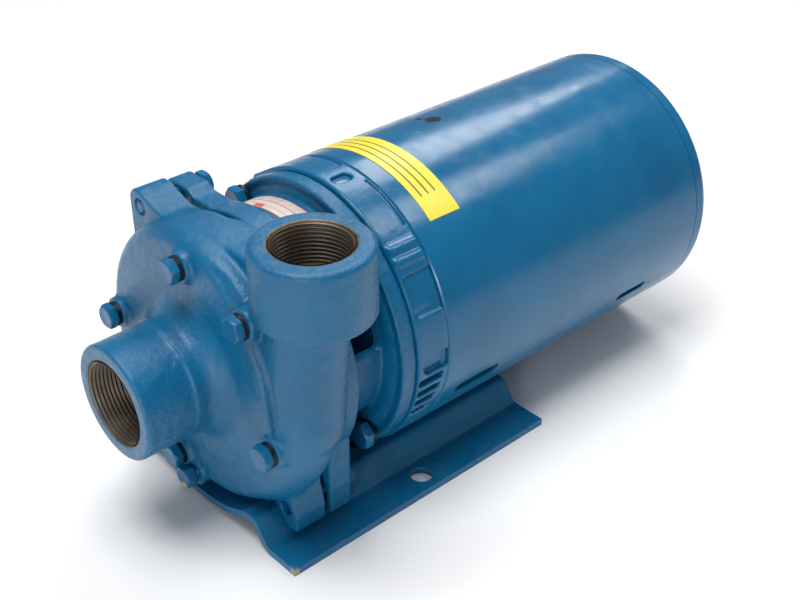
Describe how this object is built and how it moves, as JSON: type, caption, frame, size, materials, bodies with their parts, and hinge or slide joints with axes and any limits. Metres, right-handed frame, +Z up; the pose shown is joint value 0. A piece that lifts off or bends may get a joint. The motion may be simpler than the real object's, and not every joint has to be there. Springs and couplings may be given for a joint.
{
  "type": "end-suction centrifugal pump",
  "caption": "Close-coupled end-suction centrifugal pump with threaded suction and discharge ports, bracket, face-mounted electric motor and rigid base.",
  "frame": {"origin": "on the floor plane, midway between the two base holes, under the shaft", "axes": "+X along the shaft from the suction port to the rear of the motor, +Z up along the discharge port's axis"},
  "size_m": [0.3846, 0.188, 0.1858],
  "materials": {
    "blue_enamel_cast": "gloss",
    "blue_enamel_sheet": "gloss",
    "blue_fastener": "gloss",
    "steel": "satin",
    "core_steel": "satin",
    "cast_iron": "matte",
    "bronze": "satin",
    "brass": "satin",
    "copper_winding": "satin",
    "aluminium": "satin",
    "rubber": "matte",
    "ceramic": "gloss",
    "phenolic": "satin",
    "paper_white": "satin",
    "paper_yellow": "satin"
  },
  "bodies": {
    "stator": {"volute_casing": "blue_enamel_cast", "suction_wear_plate": "cast_iron", "casing_gasket": "rubber", "casing_screws": "blue_fastener", "casing_lock_washers": "steel", "drain_plug": "blue_fastener", "casing_name_tag": "paper_white", "motor_bracket": "blue_enamel_cast", "lug_screws": "blue_fastener", "bracket_screws": "blue_fastener", "bracket_lock_washers": "steel", "seal_seat": "ceramic", "seal_cup": "rubber", "front_end_bell": "blue_enamel_cast", "front_bearing_outer": "steel", "motor_shell": "blue_enamel_sheet", "stator_core": "core_steel", "stator_winding_front": "copper_winding", "stator_winding_rear": "copper_winding", "rear_end_bell": "blue_enamel_sheet", "rear_bearing_outer": "steel", "bearing_wave_spring": "steel", "through_bolts": "steel", "terminal_board": "phenolic", "terminal_studs": "brass", "terminal_cover": "blue_enamel_sheet", "cover_screws": "steel", "motor_label": "paper_yellow", "motor_base": "blue_enamel_sheet"},
    "rotor": {"impeller": "bronze", "impeller_key": "steel", "impeller_nut": "steel", "seal_head": "core_steel", "seal_spring": "steel", "slinger": "rubber", "shaft": "steel", "front_bearing_inner": "steel", "rear_bearing_inner": "steel", "rotor_core": "core_steel", "rotor_end_rings": "aluminium", "cooling_fan": "aluminium"},
    "front_cage": {"front_bearing_cage": "steel", "front_bearing_balls": "steel"},
    "rear_cage": {"rear_bearing_cage": "steel", "rear_bearing_balls": "steel"}
  },
  "joints": [
    {"name": "rotor_spin", "type": "hinge", "parent": "stator", "child": "rotor", "pos_m": [0, 0, 0.0889], "axis": [1, 0, 0], "continuous": true},
    {"name": "front_cage_roll", "type": "hinge", "parent": "stator", "child": "front_cage", "pos_m": [0.005, 0, 0.0889], "axis": [1, 0, 0], "continuous": true},
    {"name": "rear_cage_roll", "type": "hinge", "parent": "stator", "child": "rear_cage", "pos_m": [0.217, 0, 0.0889], "axis": [1, 0, 0], "continuous": true}
  ],
  "couplings": [
    {"joint": "front_cage_roll", "follows": "rotor_spin", "ratio": 0.3816},
    {"joint": "rear_cage_roll", "follows": "rotor_spin", "ratio": 0.3816}
  ]
}
